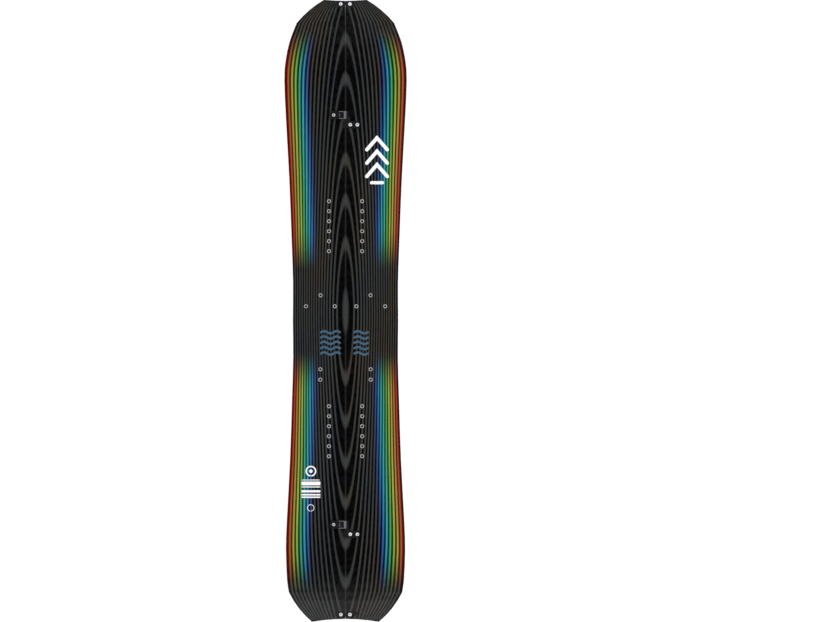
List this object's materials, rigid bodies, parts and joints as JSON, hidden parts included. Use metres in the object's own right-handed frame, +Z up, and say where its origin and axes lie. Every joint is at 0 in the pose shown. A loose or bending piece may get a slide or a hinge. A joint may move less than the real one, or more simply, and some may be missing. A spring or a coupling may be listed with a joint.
{
  "type": "splitboard",
  "caption": "Snowboard split lengthwise into two skis, joined by lever latches and tip hooks, with insert rows for bindings and touring brackets.",
  "frame": {"origin": "Centre of the overall box in X and Y, on the plane that the base rests on", "axes": "+Z up from base to top sheet, +Y from tail to nose along the seam, +X from the left half to the right half"},
  "size_m": [0.3112, 1.5768, 0.0555],
  "materials": {
    "topsheet": "satin gloss",
    "laminate": "glass fibre in resin",
    "core": "bare",
    "base": "stone ground",
    "inlay": "stone ground",
    "steel_edge": "ground",
    "sidewall": "satin",
    "insert": "turned",
    "screw": "bright",
    "clip": "black anodised",
    "clip_bright": "clear anodised"
  },
  "bodies": {
    "left_ski": {"left_topsheet": "topsheet", "left_upper_laminate": "laminate", "left_core": "core", "left_lower_laminate": "laminate", "left_base": "base", "left_outer_edge": "steel_edge", "left_inner_edge": "steel_edge", "left_outer_sidewall": "sidewall", "left_inner_sidewall": "sidewall", "left_front_binding_inserts": "insert", "left_rear_binding_inserts": "insert", "left_touring_inserts": "insert", "left_heel_inserts": "insert", "front_lever_base": "clip", "front_lever_base_outer_screw": "screw", "front_lever_base_inner_screw": "screw", "front_lever_pin": "clip_bright", "rear_lever_base": "clip", "rear_lever_base_outer_screw": "screw", "rear_lever_base_inner_screw": "screw", "rear_lever_pin": "clip_bright", "nose_hook_plate": "clip", "nose_hook_screw": "screw", "tail_post_plate": "clip", "tail_post_screw": "screw"},
    "right_ski": {"right_topsheet": "topsheet", "right_upper_laminate": "laminate", "right_core": "core", "right_lower_laminate": "laminate", "right_base": "base", "right_outer_edge": "steel_edge", "right_inner_edge": "steel_edge", "right_outer_sidewall": "sidewall", "right_inner_sidewall": "sidewall", "right_front_binding_inserts": "insert", "right_rear_binding_inserts": "insert", "right_touring_inserts": "insert", "right_heel_inserts": "insert", "right_base_inlay": "inlay", "front_catch_plate": "clip", "front_catch_inner_screw": "screw", "front_catch_outer_screw": "screw", "rear_catch_plate": "clip", "rear_catch_inner_screw": "screw", "rear_catch_outer_screw": "screw", "nose_post_plate": "clip", "nose_post_screw": "screw", "tail_hook_plate": "clip", "tail_hook_screw": "screw"},
    "front_lever": {"front_lever": "clip"},
    "front_claw_pin": {"front_claw_pin": "clip_bright"},
    "front_claw": {"front_claw": "clip_bright"},
    "rear_lever": {"rear_lever": "clip"},
    "rear_claw_pin": {"rear_claw_pin": "clip_bright"},
    "rear_claw": {"rear_claw": "clip_bright"},
    "nose_hook_bush": {"nose_hook_bush": "clip_bright"},
    "nose_hook": {"nose_hook": "clip"},
    "tail_hook_bush": {"tail_hook_bush": "clip_bright"},
    "tail_hook": {"tail_hook": "clip"}
  },
  "joints": [
    {"name": "halves_apart", "type": "slide", "parent": "left_ski", "child": "right_ski", "axis": [1, 0, 0], "range_m": [0, 0.015]},
    {"name": "front_lever_swing", "type": "hinge", "parent": "left_ski", "child": "front_lever", "pos_m": [-0.009, 0.498, 0.0143], "axis": [0, 1, 0], "range_deg": [0, 90]},
    {"name": "front_claw_release", "type": "hinge", "parent": "front_lever", "child": "front_claw_pin", "pos_m": [-0.015, 0.498, 0.0135], "axis": [0, 1, 0], "range_deg": [-41, 0]},
    {"name": "front_claw_swing", "type": "hinge", "parent": "front_claw_pin", "child": "front_claw", "pos_m": [-0.015, 0.498, 0.0135], "axis": [0, 1, 0], "range_deg": [-91, 0]},
    {"name": "rear_lever_swing", "type": "hinge", "parent": "left_ski", "child": "rear_lever", "pos_m": [-0.009, -0.543, 0.0143], "axis": [0, 1, 0], "range_deg": [0, 90]},
    {"name": "rear_claw_release", "type": "hinge", "parent": "rear_lever", "child": "rear_claw_pin", "pos_m": [-0.015, -0.543, 0.0135], "axis": [0, 1, 0], "range_deg": [-41, 0]},
    {"name": "rear_claw_swing", "type": "hinge", "parent": "rear_claw_pin", "child": "rear_claw", "pos_m": [-0.015, -0.543, 0.0135], "axis": [0, 1, 0], "range_deg": [-91, 0]},
    {"name": "nose_hook_release", "type": "hinge", "parent": "left_ski", "child": "nose_hook_bush", "pos_m": [-0.0116, 0.77851, 0.05024], "axis": [0, -0.309, 0.9511], "range_deg": [0, 91]},
    {"name": "nose_hook_swing", "type": "hinge", "parent": "nose_hook_bush", "child": "nose_hook", "pos_m": [-0.0116, 0.77851, 0.05024], "axis": [0, -0.309, 0.9511], "range_deg": [0, 90]},
    {"name": "tail_hook_release", "type": "hinge", "parent": "right_ski", "child": "tail_hook_bush", "pos_m": [0.0116, -0.77061, 0.03258], "axis": [0, 0.2419, 0.9703], "range_deg": [0, 91]},
    {"name": "tail_hook_swing", "type": "hinge", "parent": "tail_hook_bush", "child": "tail_hook", "pos_m": [0.0116, -0.77061, 0.03258], "axis": [0, 0.2419, 0.9703], "range_deg": [0, 90]}
  ],
  "couplings": [
    {"joint": "front_claw_release", "follows": "halves_apart", "rad_per_m": -46.542},
    {"joint": "front_claw_swing", "follows": "front_lever_swing", "ratio": -1},
    {"joint": "rear_claw_release", "follows": "halves_apart", "rad_per_m": -46.542},
    {"joint": "rear_claw_swing", "follows": "rear_lever_swing", "ratio": -1},
    {"joint": "nose_hook_release", "follows": "halves_apart", "rad_per_m": 104.72},
    {"joint": "tail_hook_release", "follows": "halves_apart", "rad_per_m": 104.72}
  ]
}
